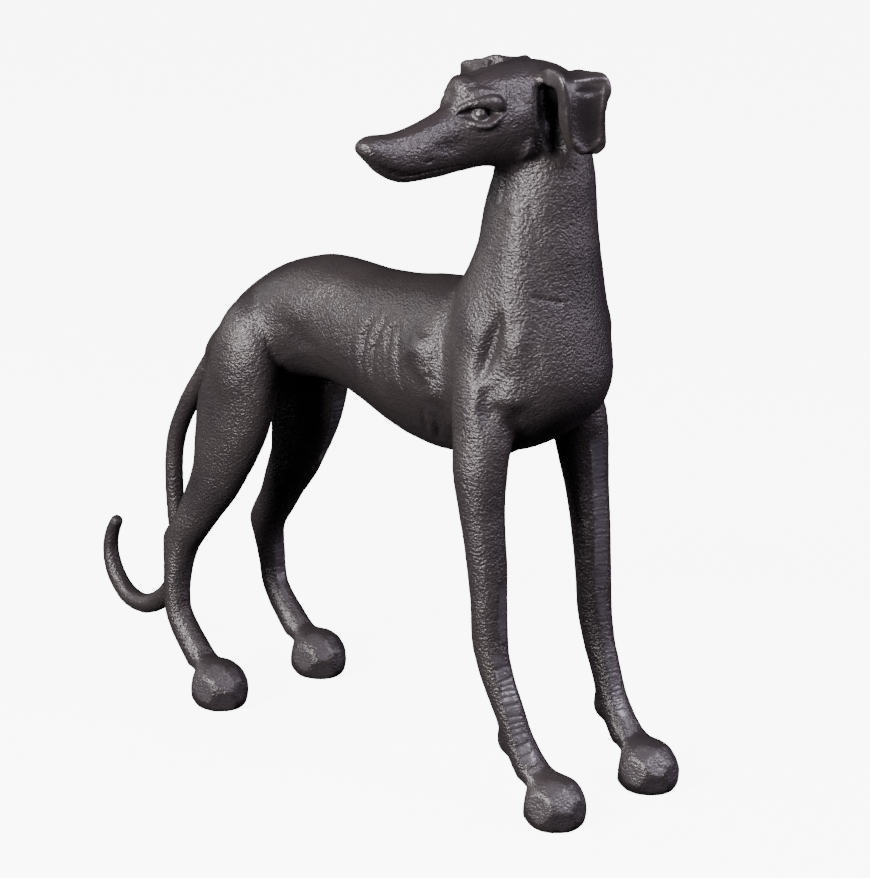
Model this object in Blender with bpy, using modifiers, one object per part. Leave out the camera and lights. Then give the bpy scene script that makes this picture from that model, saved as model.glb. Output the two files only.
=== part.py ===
"""Greyhound, a small cast iron figure that stands on its four paws with its head turned to its right.

The frame is metres with +Z up. +X is the way the body faces and +Y is the dog's left. The origin is the
middle of the figure's box, on the surface that it stands on. The figure is one casting: rough tapered
bodies for the trunk, neck, head, ears, legs and tail are fused and smoothed, the carving is pressed into
the surface, the mesh is thinned out and the soles are cut flat.
"""

import math

import bmesh
import bpy
import numpy as np
from mathutils import Matrix, Vector

# The figure is drawn 300 mm high, and every size below is a drawing millimetre. HEIGHT sets the real one.
HEIGHT = 0.300
MM = HEIGHT / 300

FUSE_STEP = 1.1  # side of the voxels that fuse the rough bodies
RELAX_ROUNDS = 16
CREASE_ROUNDS = 60
NORMAL_ROUNDS = 12
TRIANGLES = 9400

# Head: where it sits on the neck, and how it is turned.
HEAD_SEAT = (67.0, 0.0, 262.0)
HEAD_TURN = 105.0  # degrees to the dog's right
HEAD_NOD = 8.0  # degrees down
HEAD_TILT = 0.0  # degrees, crown towards the dog's left

HEAD_THINNING = 0.999  # share of the thinning that the head takes
HEAD_FOOT = 6.0  # how far below the head's seat the mesh is thinned as the head is
RING_SIDES = 28
RING_STEP = 3.0

# Every body is a list of sections along its path. A section has its centre, then half its width across,
# half its depth towards the front or top, half its depth towards the back or underside, and how far that
# second half is pinched in.
TRUNK = (
    # x, top, underside, half width, pinch
    (-134, 151.5, 145, 4, 0.0),
    (-128, 159, 142.5, 7, 0.0),
    (-118, 168, 140, 11.5, 0.1),
    (-105, 180.8, 141, 17, 0.1),
    (-90, 191.2, 143, 21, 0.1),
    (-75, 198.2, 147, 22.8, 0.1),
    (-57, 202.5, 149, 22, 0.2),
    (-40, 202.6, 146, 21, 0.35),
    (-22, 201.4, 138.8, 22, 0.45),
    (-5, 202, 133.6, 24, 0.45),
    (12, 204, 131.4, 26, 0.45),
    (30, 205.4, 132.6, 27.5, 0.42),
    (48, 204, 135.4, 27, 0.3),
    (62, 196, 145.5, 20, 0.1),
    (66, 184, 160, 8, 0.0),
)

NECK = (
    # x, z, across, fore, aft
    (52, 139.5, 6, 6, 14),
    (55.5, 144, 14.5, 12.5, 22),
    (58.4, 151, 22.4, 21, 27),
    (59.5, 160.5, 28.7, 30, 29.5),
    (59.5, 172, 31.8, 34.2, 30),
    (59.3, 188, 31.2, 33.2, 29),
    (58.8, 202, 29.2, 31.5, 30),
    (60, 213, 26.8, 29, 24.8),
    (62.5, 224, 24.4, 26, 22.3),
    (64.5, 238, 22, 22.8, 22.4),
)

# The top of the neck follows the head: these sections are measured from the head's seat.
NECK_TOP = (
    # x and z from the seat, across, fore, aft
    (-0.5, -12, 19.8, 20.5, 21.2),
    (0, 0, 17.5, 18.2, 19),
    (0, 12, 13, 14, 14),
)

FORELEG = (
    # x, out, z, across, fore, aft
    (57, 12, 206, 6, 9, 10),
    (58.5, 18, 188, 11, 13, 15),
    (59.5, 24.5, 166, 12, 12, 15),
    (60.2, 27.8, 150, 10.8, 12.8, 12.6),
    (61, 30, 136, 10.2, 11.8, 11),
    (63, 30.8, 120, 9, 9.5, 9.0),
    (65.8, 30.9, 100, 8.1, 8.3, 7.9),
    (67.3, 31, 80, 7.4, 7.7, 7.1),
    (68.4, 31.1, 68, 7.1, 7.2, 7.4),
    (71.6, 31, 55, 6.4, 6.6, 6.7),
    (76.6, 30.6, 43, 6.0, 6.4, 6.2),
    (81.8, 29.8, 31, 6.3, 5.7, 6.6),
    (88.5, 29, 20, 7.2, 6.0, 6.4),
    (96, 28, 12, 8, 7, 7),
)

PASTERN = (62, 12)  # top and bottom of the part that one foreleg carries further forward than the other
PASTERN_FORWARD = {1: -1.4, -1: 0.7}

HINDLEG = (
    # x, out, z, across, fore, aft
    (-84, 11, 181, 7, 9, 7),
    (-87, 18, 171, 10.5, 17, 12),
    (-89.8, 21.3, 153, 11.5, 20.5, 17.5),
    (-94.2, 21.8, 134, 11, 21, 20),
    (-99.2, 22.4, 118, 10.2, 18.5, 17.3),
    (-105, 23.2, 102, 9, 14.2, 13),
    (-112, 23.8, 90, 8.2, 11.5, 10.5),
    (-118.6, 24.9, 78, 7.4, 9, 9.6),
    (-124.9, 25.8, 66, 7.0, 6.8, 10.6),
    (-126.4, 27.6, 54, 6.4, 5.3, 7.6),
    (-126.4, 28.6, 45, 6.0, 5.4, 6.4),
    (-125.9, 29, 38, 5.9, 5.3, 6.0),
    (-122.8, 29.2, 31, 5.9, 5.7, 5.9),
    (-114.4, 29.3, 20.5, 6.4, 6.6, 5.6),
    (-104, 29.5, 10, 7, 6, 6),
)

TAIL = (
    # x, z, radius
    (-112, 162, 6.6),
    (-124, 154, 5.3),
    (-137, 138.4, 4.8),
    (-150.2, 121, 4.4),
    (-158.9, 104, 4.1),
    (-161.2, 86, 4.1),
    (-160.3, 68, 4.1),
    (-158.8, 52, 4.2),
    (-161.5, 37, 4.4),
    (-170, 25.8, 4.5),
    (-183.3, 19, 4.5),
    (-196, 20.6, 4.4),
    (-205, 29, 4.1),
    (-208.6, 40, 3.7),
    (-206.8, 49.5, 3.2),
    (-202.6, 56.5, 2.6),
)

GROUND = -1.5
PAW_SIZE = (26.5, 23, 22.5)
PAW_HEART = 7.3
PAD_SIZE = (24.8, 21.8, 13.6)
PAD_HEART = (0.8, 3.4)  # forward of the heart of the paw, and up
FRONT_PAW = (100.3, 28.2)
HIND_PAW = (-98.9, 29.8)

# In the head's own frame: u towards the nose, v to its left, w up, from the seat.
SKULL = (
    # u, underside, top, half width
    (-15, 11, 27, 8),
    (-9, 1, 32, 12.5),
    (0, -5, 35.8, 15),
    (10, -4, 37.4, 16.2),
    (21, -2.5, 37, 16),
    (29.5, 0, 36.3, 14),
    (34.8, 0.2, 37, 12.4),
    (37.8, 0.2, 34.3, 11),
    (40, 0.2, 28.6, 9.6),
    (43.6, 0.3, 25.9, 9),
    (49.5, 0.3, 23.9, 8.8),
    (58, 0.7, 21.9, 8.4),
    (65, 1.6, 21.1, 8),
    (71, 4.4, 21.5, 7.4),
    (76, 8.8, 22.2, 6.6),
    (79.2, 13.3, 21.4, 5.4),
    (81.4, 16.4, 19.8, 2.8),
)


# The ear is a thin curved leaf, given by its front edge and its back edge from the root to the tip.
EAR = (
    # front u, v, w, back u, v, w
    (6, 9, 32.5, -7, 8, 29.5),
    (7, 16, 34.8, -8, 15, 31),
    (7.4, 23, 35.2, -9, 22.5, 31),
    (7.8, 28, 33.8, -11.8, 29.7, 30.2),
    (8.0, 30, 28.5, -12.4, 32.4, 25.4),
    (7.9, 29.8, 21, -8.9, 31.6, 17.5),
    (7.9, 29.5, 13, -8.8, 30.8, 11),
    (5.6, 29.2, 6.0, -8.4, 30.2, 4.2),
    (1.3, 29.0, 1.6, -5.4, 29.7, 0.7),
)
EAR_THICKNESS = 3.4
EAR_FRONT_THICKNESS = 7.4
EAR_CUP = 3.0
EAR_FORWARD = {1: 0.0, -1: 9.6}  # how far each ear is swung towards the nose at its outer edge
EAR_LIFT = {1: -1.6, -1: 3.0}  # how far the root of each ear stands up over the crown
EAR_ROOT = (2, 19)

STROKE_END = 0.6  # width and depth of a stroke at its ends, as a share of those halfway

# Carving on the body, given for the right side and repeated on the left. Each row has how far the surface is
# raised (below nought: sunk), how wide the stroke is to each side, and the path of the stroke.
BODY_CARVING = (
    # the shoulder: the line behind it, the muscle behind that line, the blade and the point
    (-1.5, 7, (32, -14, 203), (34, -20, 195), (36, -26, 185), (38, -28.5, 175), (38, -28.5, 165), (36, -24, 152)),
    (2.3, 13, (21, -26, 184), (26, -26.5, 172)),
    (1.3, 7, (31, -27, 164), (32, -26, 160)),
    (1.4, 20, (52, -30, 198), (54, -32, 178)),
    (-2.6, 6, (69, -26, 200), (66.5, -29, 189), (62.5, -32, 174)),
    (2.2, 10, (75, -29, 171), (75, -28.5, 163)),
    (-1.6, 6, (67.5, -33, 170), (68, -33, 155)),
    (1.5, 12, (71, -20, 238), (73, -24, 210), (77, -26, 184)),
    # the flank and the thigh
    (-1.7, 16, (-50, -21, 176), (-57, -20, 165)),
    (-0.9, 9, (-65, -22, 183), (-67, -21, 168), (-68, -20, 155)),
    (1.6, 20, (-82, -30, 174), (-86, -32, 148)),
    (-1.1, 11, (-104, -24, 164), (-110, -28, 144)),
    (-1.0, 6, (-110, -31, 98), (-121, -31, 78)),
    # the back of the hock, the back of the wrist and the pad behind the pastern
    (1.2, 6, (-134, -26, 72), (-135, -26, 61)),
    (0.8, 6, (60, -30.5, 73), (60, -30.5, 65)),
    (3.8, 6.5, (74.5, -29.5, 32.5), (80.5, -29, 23)),
)
RIB_GROOVES = 3
RIB_PITCH = 7.4
FIRST_RIB = ((-8, -19, 189), (-13, -22, 178), (-14.5, -22, 163))
RIB_LEAN = (0, -1.6, -0.8)
RIB_DEPTH = 1.0
RIB_WIDTH = 3.8
SPINE = (0.5, 10, (-60, 0, 203), (-20, 0, 202), (28, 0, 205))

# Carving on the head, in its own u, v, w, for the left side and repeated on the right.
HEAD_CARVING = (
    # eye: socket, ball, brow and lower lid
    (-2.1, 3.4, (41, 7.6, 23.8), (37, 9.6, 24.4), (33.5, 11.2, 24.4), (29, 13.2, 23.2), (24.5, 14.4, 22.4)),
    (2.3, 3.4, (34.2, 11.3, 22), (33.2, 11.7, 22)),
    (1.7, 3.6, (37, 9.2, 27.4), (34.5, 10.2, 28.4), (31, 11.4, 28.8), (27, 12.8, 28.2), (23.6, 13.8, 26)),
    (1.0, 2.4, (39.5, 8.8, 21.2), (36.5, 10.6, 19.4), (33.2, 12.2, 18.4), (29.5, 13.4, 18.9), (25.6, 14.3, 20.4)),
    # cheek, the drop behind it, the temple
    (2.6, 7.5, (18, 14.5, 5), (15.5, 14.5, 4.2)),
    (-5.4, 9.5, (5, 15, 27), (3.5, 17, 14), (5, 17, 5)),
    (-1.0, 7, (22, 15, 32), (17, 15.5, 24)),
    # mouth, nostril and the flat between muzzle and eye
    (-1.1, 1.9, (78, 3, 13.6), (73.5, 5.2, 8.6), (67, 6.8, 5.4), (58, 7.8, 3.6), (48, 8.6, 3.0), (39, 9, 3.6)),
    (-1.0, 1.7, (79.6, 3.6, 18.2), (78.6, 4.2, 18)),
    (-0.8, 5, (52, 9, 13), (42, 10, 12)),
    (-0.8, 4.5, (44, 0, 27), (40, 0, 32)),
    (-0.7, 4, (34, 0, 37), (20, 0, 38)),
)

# Flats filed on every paw: the way each faces, and its distance from the heart of the paw.
PAW_FLATS = (
    ((0.15, -0.05, 1.0), 10.7),
    ((0.72, -0.48, 0.5), 11.7),
    ((0.98, 0.05, 0.15), 12.6),
    ((0.25, -0.9, 0.35), 10.9),
    ((0.68, 0.52, 0.5), 11.6),
    ((0.1, 0.95, 0.3), 10.9),
)


def clear_scene():
    for thing in list(bpy.data.objects):
        bpy.data.objects.remove(thing)


def collection(name):
    made = bpy.data.collections.new(name)
    bpy.context.scene.collection.children.link(made)
    return made


def iron():
    material = bpy.data.materials.new("dark iron")
    material.use_nodes = True
    shader = material.node_tree.nodes["Principled BSDF"]
    shader.inputs["Base Color"].default_value = (0.035, 0.030, 0.031, 1)
    shader.inputs["Roughness"].default_value = 0.5
    shader.inputs["Metallic"].default_value = 0.8
    return material


def smooth_rows(rows, step=RING_STEP):
    """The sections of a body, with more of them worked out along a smooth curve through the given ones."""
    rows = np.array(rows, float)
    ends = np.vstack([2 * rows[0] - rows[1], rows, 2 * rows[-1] - rows[-2]])
    dense = []
    for before, here, there, after in zip(ends, ends[1:], ends[2:], ends[3:]):
        count = max(1, round(np.linalg.norm(there[:3] - here[:3]) / step))
        for t in np.arange(count) / count:
            slope_in, slope_out = (there - before) / 2, (after - here) / 2
            dense.append(
                here * (1 + t * t * (2 * t - 3))
                + there * (t * t * (3 - 2 * t))
                + slope_in * (t * (1 - t) ** 2)
                - slope_out * (t * t * (1 - t))
            )
    dense.append(rows[-1])
    return np.array(dense)


def loft(rows, axis=None, frame=None):
    """A closed tapered body through sections (x, y, z, across, fore, aft, pinch), as points and faces.

    The sections stand square to the path, or to the axis if one is given. Fore is the side to the left of the
    path, seen from the figure's left: forward for a path that runs down, up for one that runs forward.
    """
    rows = smooth_rows(rows)
    centres = rows[:, :3]
    along = np.gradient(centres, axis=0)
    if axis is not None:
        along[:] = axis
    along /= np.linalg.norm(along, axis=1, keepdims=True)
    side = np.array((0.0, 1.0, 0.0))
    across = side - along * (along @ side)[:, None]
    across /= np.linalg.norm(across, axis=1, keepdims=True)
    fore = np.cross(along, across)
    turn = np.arange(RING_SIDES) * 2 * math.pi / RING_SIDES
    rings = []
    for centre, a, f, row in zip(centres, across, fore, rows):
        width, front, back, pinch = row[3:7]
        lift = np.sin(turn)
        reach = np.cos(turn) * (1 - pinch * np.clip(-lift, 0, 1) ** 2)
        depth = np.where(lift > 0, front, back) * lift
        rings.append(centre + np.outer(reach * width, a) + np.outer(depth, f))
    points = np.vstack(rings + [centres[:1], centres[-1:]])
    if frame is not None:
        points = points @ np.array(frame.to_3x3()).T + np.array(frame.translation)
    count, n = len(rings), RING_SIDES
    faces = []
    for i in range(count - 1):
        for j in range(n):
            k = (j + 1) % n
            faces.append((i * n + j, i * n + k, (i + 1) * n + k, (i + 1) * n + j))
    for j in range(n):
        k = (j + 1) % n
        faces.append((count * n, k, j))
        faces.append((count * n + 1, (count - 1) * n + j, (count - 1) * n + k))
    return points, faces


def mirrored(rows, sign):
    """Sections given for the left side, on the left (sign 1) or the right (sign -1)."""
    return [(row[0], sign * row[1], *row[2:], 0) for row in rows]


def foreleg(sign):
    top, bottom = PASTERN
    rows = []
    for x, *rest in mirrored(FORELEG, sign):
        down = min(max((top - rest[1]) / (top - bottom), 0), 1)
        rows.append((x + PASTERN_FORWARD[sign] * math.sin(math.pi * down), *rest))
    return rows


def head_frame():
    turn = Matrix.Rotation(math.radians(-HEAD_TURN), 4, "Z")
    nod = Matrix.Rotation(math.radians(HEAD_NOD), 4, "Y")
    tilt = Matrix.Rotation(math.radians(HEAD_TILT), 4, "X")
    return Matrix.Translation(HEAD_SEAT) @ turn @ nod @ tilt


def add_body(pile, points, faces):
    """Adds a closed body to the pile of them, turned face out."""
    verts = [pile.verts.new(Vector(p) * MM) for p in points]
    made = []
    for face in faces:
        made.append(pile.faces.new([verts[i] for i in face]))
    bmesh.ops.recalc_face_normals(pile, faces=made)


def ear(sign):
    """The curved leaf of an ear as a closed body: sign 1 for the left one, -1 for the right one."""
    rows = smooth_rows(EAR, 1.5)
    across = np.linspace(-1, 1, 13)
    front, back = rows[:, None, :3], rows[:, None, 3:]
    leaf = front + (back - front) * (across[None, :, None] + 1) / 2
    along = np.gradient(leaf, axis=0)
    over = np.gradient(leaf, axis=1)
    outward = np.cross(along, over)
    outward /= np.linalg.norm(outward, axis=2, keepdims=True)
    if outward[-1, 6, 1] < 0:
        outward = -outward
    fade = np.clip(np.linspace(0, 3, len(rows)), 0, 1)[:, None, None]
    leaf = leaf - outward * (EAR_CUP * (1 - across**2))[None, :, None] * fade
    rim = EAR_THICKNESS / 2
    depth = rim + (EAR_FRONT_THICKNESS - EAR_THICKNESS) * ((1 - across) / 2) ** 2
    outer, inner = leaf + outward * rim, leaf - outward * depth[None, :, None]
    rows_count, n = leaf.shape[:2]
    points = np.vstack([outer.reshape(-1, 3), inner.reshape(-1, 3)])
    points[:, 0] += EAR_FORWARD[sign] * np.clip(points[:, 1] / 30, 0, 1)
    over_root = np.clip((points[:, 1] - EAR_ROOT[0]) / (EAR_ROOT[1] - EAR_ROOT[0]), 0, 1)
    points[:, 2] += EAR_LIFT[sign] * np.sin(math.pi * over_root)
    points[:, 1] *= sign
    frame = head_frame()
    points = points @ np.array(frame.to_3x3()).T + np.array(frame.translation)
    faces = []
    half = rows_count * n
    for i in range(rows_count - 1):
        for j in range(n - 1):
            a = i * n + j
            faces.append((a, a + 1, a + n + 1, a + n))
            faces.append((half + a, half + a + n, half + a + n + 1, half + a + 1))
        for a, b in ((i * n, (i + 1) * n), ((i + 2) * n - 1, (i + 1) * n - 1)):
            faces.append((a, b, half + b, half + a))
    for j in range(n - 1):
        faces.append((j + 1, j, half + j, half + j + 1))
        a = (rows_count - 1) * n + j
        faces.append((a, a + 1, half + a + 1, half + a))
    return points, faces


def add_ball(pile, centre, size):
    made = bmesh.ops.create_uvsphere(pile, u_segments=24, v_segments=16, radius=0.5)
    bmesh.ops.scale(pile, vec=Vector(size) * MM, verts=made["verts"])
    bmesh.ops.translate(pile, vec=Vector(centre) * MM, verts=made["verts"])


def rough_bodies():
    """All the rough bodies, overlapping where they join, as one mesh."""
    pile = bmesh.new()
    trunk = [(x, 0, (top + under) / 2, width, (top - under) / 2, (top - under) / 2, pinch)
             for x, top, under, width, pinch in TRUNK]
    add_body(pile, *loft(trunk, axis=(1, 0, 0)))
    neck_top = [(HEAD_SEAT[0] + x, HEAD_SEAT[2] + z, *sizes) for x, z, *sizes in NECK_TOP]
    neck = [(x, 0, z, across, fore, aft, 0) for x, z, across, fore, aft in NECK + tuple(neck_top)]
    add_body(pile, *loft(neck[::-1], axis=(0, 0, -1)))
    for sign in (1, -1):
        add_body(pile, *loft(foreleg(sign)))
        add_body(pile, *loft(mirrored(HINDLEG, sign)))
        for x, out in (FRONT_PAW, HIND_PAW):
            add_ball(pile, (x, sign * out, PAW_HEART), PAW_SIZE)
            add_ball(pile, (x + PAD_HEART[0], sign * out, PAD_HEART[1]), PAD_SIZE)
    add_body(pile, *loft([(x, 0, z, r, r, r, 0) for x, z, r in TAIL]))
    skull = [(u, 0, (top + under) / 2, width, (top - under) / 2, (top - under) / 2, 0)
             for u, under, top, width in SKULL]
    add_body(pile, *loft(skull, axis=(1, 0, 0), frame=head_frame()))
    for sign in (1, -1):
        add_body(pile, *ear(sign))
    mesh = bpy.data.meshes.new("rough")
    pile.to_mesh(mesh)
    pile.free()
    return mesh


def fused(mesh):
    """The rough bodies as one skin."""
    rough = bpy.data.objects.new("rough", mesh)
    bpy.context.scene.collection.objects.link(rough)
    remesh = rough.modifiers.new("fuse", "REMESH")
    remesh.mode = "VOXEL"
    remesh.voxel_size = FUSE_STEP * MM
    graph = bpy.context.evaluated_depsgraph_get()
    skin = bpy.data.meshes.new_from_object(rough.evaluated_get(graph))
    bpy.data.objects.remove(rough)
    return skin


def relax(points, edges, rounds):
    """Smooths the points along the edges without shrinking the shape."""
    for amount in (0.5, -0.53) * round(rounds):
        points = points + amount * (neighbour_mean(points, edges) - points)
    return points


def normals_of(points, corners):
    first, second, third = (points[corners[:, k]] for k in range(3))
    cross = np.cross(second - first, third - first)
    total = np.zeros_like(points)
    for axis in range(3):
        for corner in range(3):
            total[:, axis] += np.bincount(corners[:, corner], cross[:, axis], len(points))
    return total / np.maximum(np.linalg.norm(total, axis=1, keepdims=True), 1e-9)


def neighbour_mean(values, edges):
    """The mean of each point's neighbours."""
    first, second = edges.T
    total = np.zeros_like(values)
    for axis in range(3):
        total[:, axis] = np.bincount(first, values[second, axis], len(values))
        total[:, axis] += np.bincount(second, values[first, axis], len(values))
    return total / np.bincount(edges.ravel(), minlength=len(values))[:, None]


def even_normals(points, edges, corners):
    """The way the surface faces, evened out so that a stroke across a fold stays clean."""
    normals = normals_of(points, corners)
    for _ in range(NORMAL_ROUNDS):
        normals = (normals + neighbour_mean(normals, edges)) / 2
    return normals / np.maximum(np.linalg.norm(normals, axis=1, keepdims=True), 1e-9)


def fill_creases(points, edges, corners, rounds):
    """Rounds off the sharp inner corners where the rough bodies meet, and leaves outer forms as they are."""
    for step in range(rounds):
        if step % 5 == 0:
            normals = normals_of(points, corners)
        lift = np.sum((neighbour_mean(points, edges) - points) * normals, axis=1)
        points = points + normals * (np.maximum(lift, 0) * 0.9)[:, None]
    return points


def distance_to_path(points, path):
    """How far each point is from a path of straight pieces, and how far along it (0 to 1) its nearest place is."""
    path = np.array(path, float)
    nearest, along = np.full(len(points), np.inf), np.zeros(len(points))
    lengths = np.linalg.norm(np.diff(path, axis=0), axis=1)
    passed = 0.0
    for start, end, length in zip(path, path[1:], lengths):
        run = end - start
        share = np.clip((points - start) @ run / (run @ run), 0, 1)
        distance = np.linalg.norm(points - start - share[:, None] * run, axis=1)
        closer = distance < nearest
        nearest[closer] = distance[closer]
        along[closer] = ((passed + share * length) / lengths.sum())[closer]
        passed += length
    return nearest, along


def stroke(points, normals, raised, width, *path):
    """Raises or sinks the surface along a path, fading out to each side and slighter at both ends."""
    distance, along = distance_to_path(points, path)
    swell = STROKE_END + (1 - STROKE_END) * np.sin(math.pi * along)
    fade = swell * np.clip(1 - (distance / (width * swell)) ** 2, 0, 1) ** 2
    return points + normals * (raised * fade)[:, None]


def flipped(rows):
    """The same strokes on the other side of the figure or of the head."""
    return [(raised, width, *[(x, -y, z) for x, y, z in path]) for raised, width, *path in rows]


def ribs():
    rows = []
    for i in range(RIB_GROOVES):
        path = [(x + i * (RIB_PITCH + lean), y - i * 0.9, z - i * 1.5)
                for (x, y, z), lean in zip(FIRST_RIB, RIB_LEAN)]
        rows.append((-RIB_DEPTH, RIB_WIDTH, *path))
    return rows


def carve(points, edges, corners):
    body = list(BODY_CARVING) + ribs()
    normals = even_normals(points, edges, corners)
    for row in [SPINE] + body + flipped(body):
        points = stroke(points, normals, *row)
    frame = head_frame()
    turn, seat = np.array(frame.to_3x3()), np.array(frame.translation)
    normals = even_normals(points, edges, corners)
    for row in list(HEAD_CARVING) + flipped(HEAD_CARVING):
        raised, width, *path = row
        path = [turn @ np.array(place, float) + seat for place in path]
        points = stroke(points, normals, raised, width, *path)
    return points


def file_paws(points):
    """Presses the filed flats into the four paws."""
    for x, out in (FRONT_PAW, HIND_PAW):
        for side in (1, -1):
            heart = np.array((x, side * out, PAW_HEART))
            near = np.linalg.norm(points - heart, axis=1) < PAW_SIZE[0] * 0.6
            for facing, reach in PAW_FLATS:
                facing = np.array(facing) / np.linalg.norm(facing)
                beyond = np.maximum((points - heart) @ facing - reach, 0) * near
                points = points - np.outer(beyond * 0.85, facing)
    return points


def thinned(mesh, points):
    """The mesh with as few triangles as the solid may have, more of them where it curves and on the head."""
    dense = bpy.data.objects.new("dense", mesh)
    bpy.context.scene.collection.objects.link(dense)
    plain = dense.vertex_groups.new(name="plain")
    muzzle = SKULL[-1][0]
    on_head = (np.linalg.norm(points - HEAD_SEAT, axis=1) < 1.2 * muzzle) & (points[:, 2] > HEAD_SEAT[2] - HEAD_FOOT)
    for chosen, share in ((on_head, HEAD_THINNING), (~on_head, 1.0)):
        plain.add([int(i) for i in np.flatnonzero(chosen)], share, "REPLACE")
    dense.modifiers.new("triangles", "TRIANGULATE")
    thin = dense.modifiers.new("thin", "DECIMATE")
    thin.ratio = TRIANGLES / (2 * len(mesh.polygons))
    thin.vertex_group = plain.name
    thin.vertex_group_factor = 1.0
    graph = bpy.context.evaluated_depsgraph_get()
    made = bpy.data.meshes.new_from_object(dense.evaluated_get(graph))
    bpy.data.objects.remove(dense)
    return made


def cut_soles(figure):
    """Cuts everything below the ground off, so that the four soles are flat and level."""
    bpy.ops.mesh.primitive_cube_add(size=1)
    cutter = bpy.context.object
    cutter.name = "sole cutter"
    cutter.scale = (0.5, 0.3, 0.02)
    cutter.location = (0, 0, -0.01)
    cutter.display_type = "WIRE"
    cutter.hide_render = True
    for home in list(cutter.users_collection):
        home.objects.unlink(cutter)
    collection("cutters").objects.link(cutter)
    cut = figure.modifiers.new("flat soles", "BOOLEAN")
    cut.operation = "DIFFERENCE"
    cut.solver = "EXACT"
    cut.object = cutter


def greyhound():
    skin = fused(rough_bodies())
    points = np.empty(len(skin.vertices) * 3, np.float32)
    skin.vertices.foreach_get("co", points)
    points = points.reshape(-1, 3).astype(float) / MM
    edges = np.empty(len(skin.edges) * 2, np.int32)
    skin.edges.foreach_get("vertices", edges)
    edges = edges.reshape(-1, 2)
    skin.calc_loop_triangles()
    corners = np.empty(len(skin.loop_triangles) * 3, np.int32)
    skin.loop_triangles.foreach_get("vertices", corners)
    corners = corners.reshape(-1, 3)
    points = relax(points, edges, RELAX_ROUNDS)
    points = fill_creases(points, edges, corners, CREASE_ROUNDS)
    points = relax(points, edges, RELAX_ROUNDS)
    points = carve(points, edges, corners)
    points = relax(points, edges, 1)
    points = file_paws(points)
    drawn = points
    low, high = points.min(axis=0), points.max(axis=0)
    points = points - ((low[0] + high[0]) / 2, (low[1] + high[1]) / 2, GROUND)
    skin.vertices.foreach_set("co", (points * MM).astype(np.float32).ravel())
    skin.update()
    figure = bpy.data.objects.new("greyhound", thinned(skin, drawn))
    figure.data.materials.append(iron())
    return figure


def main():
    clear_scene()
    parts = collection("greyhound sculpture")
    figure = greyhound()
    parts.objects.link(figure)
    cut_soles(figure)


main()
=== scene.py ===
"""The look of the greyhound: the casting's full surface, its dark iron, a pale floor, lamps and the camera.

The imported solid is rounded, given a dense even skin and sculpted with finer strokes: eyes and lids, ear rims,
mouth, seams, wrinkles, file marks and the grain of the casting. Lengths in the tables are millimetres on a
figure drawn 300 mm high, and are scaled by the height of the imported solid. The drawing's frame has x towards
the front, y to the dog's left and z up. What a table gives for one side is mirrored onto the other, unless
its heading says otherwise.
"""

import math

import bpy
import numpy as np
from mathutils import Matrix, Vector, noise
from mathutils.bvhtree import BVHTree

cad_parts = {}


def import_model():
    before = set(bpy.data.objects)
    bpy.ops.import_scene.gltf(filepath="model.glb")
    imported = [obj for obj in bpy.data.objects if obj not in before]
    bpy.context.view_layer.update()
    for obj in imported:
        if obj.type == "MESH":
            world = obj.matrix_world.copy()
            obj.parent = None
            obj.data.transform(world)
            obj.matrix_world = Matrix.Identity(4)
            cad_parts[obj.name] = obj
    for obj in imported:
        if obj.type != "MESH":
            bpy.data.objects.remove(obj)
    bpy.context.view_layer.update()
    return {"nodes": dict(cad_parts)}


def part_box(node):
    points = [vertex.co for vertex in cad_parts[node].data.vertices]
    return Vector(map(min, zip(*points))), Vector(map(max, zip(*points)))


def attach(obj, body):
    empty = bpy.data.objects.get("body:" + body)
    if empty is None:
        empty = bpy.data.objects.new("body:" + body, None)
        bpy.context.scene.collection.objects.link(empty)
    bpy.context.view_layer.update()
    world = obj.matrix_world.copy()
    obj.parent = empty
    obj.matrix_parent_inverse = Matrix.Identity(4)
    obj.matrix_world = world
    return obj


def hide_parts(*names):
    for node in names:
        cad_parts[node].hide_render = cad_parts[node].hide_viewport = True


NODE = "greyhound"
DRAWN_HEIGHT = 300.0
DRAWN_ORIGIN = (49.75, 19.8, 1.5)  # the drawing's origin, seen from the middle of the figure's box
SIDES = (1, -1)  # as a table gives it, and in mirror image

# How the skin is made.
ROUNDING = 4  # each facet of the solid is divided this many ways before it is curved
ROUNDNESS = 0.75  # how far a divided facet bulges out, from flat at nought to full at one
WELD_STEPS = 1e3  # points that agree to one part in this many of a millimetre are one
FIRST_STEP = 0.8  # voxels of the first skin, which is evened out
LAST_STEP = 0.5  # voxels of the skin that is sculpted
SMOOTHING = (0.5, -0.53)  # a step in and a slightly longer one out, so that nothing shrinks
FIRST_ROUNDS = 26
LAST_ROUNDS = 3
MOST_MOVED = 0.4  # the smoothing takes no point further than this
EVENING = 0.5  # how far a round of plain smoothing takes a point towards its neighbours
NORMAL_ROUNDS = 8
MOST_TRIANGLES = 196000
HEAD_THINNING = 0.99995  # how readily the head is thinned, where the rest has 1

# Places that are evened out before they are carved, on both sides: centre, reach, rounds.
EVENED = (
    ((36, -22, 191), 13, 30),
    ((42, -27, 172), 13, 30),
    ((40, -25, 155), 11, 20),
    ((97.5, -28, 20), 7.5, 40),
)

# The head's own frame: u towards the nose, v to its left, w up.
HEAD_SEAT = (67.0, 0.0, 262.0)
HEAD_TURN = 105.0
HEAD_NOD = 8.0
HEAD_REACH = 90.0
HEAD_BELOW = 8.0  # how far below its seat the head still counts as head

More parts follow.
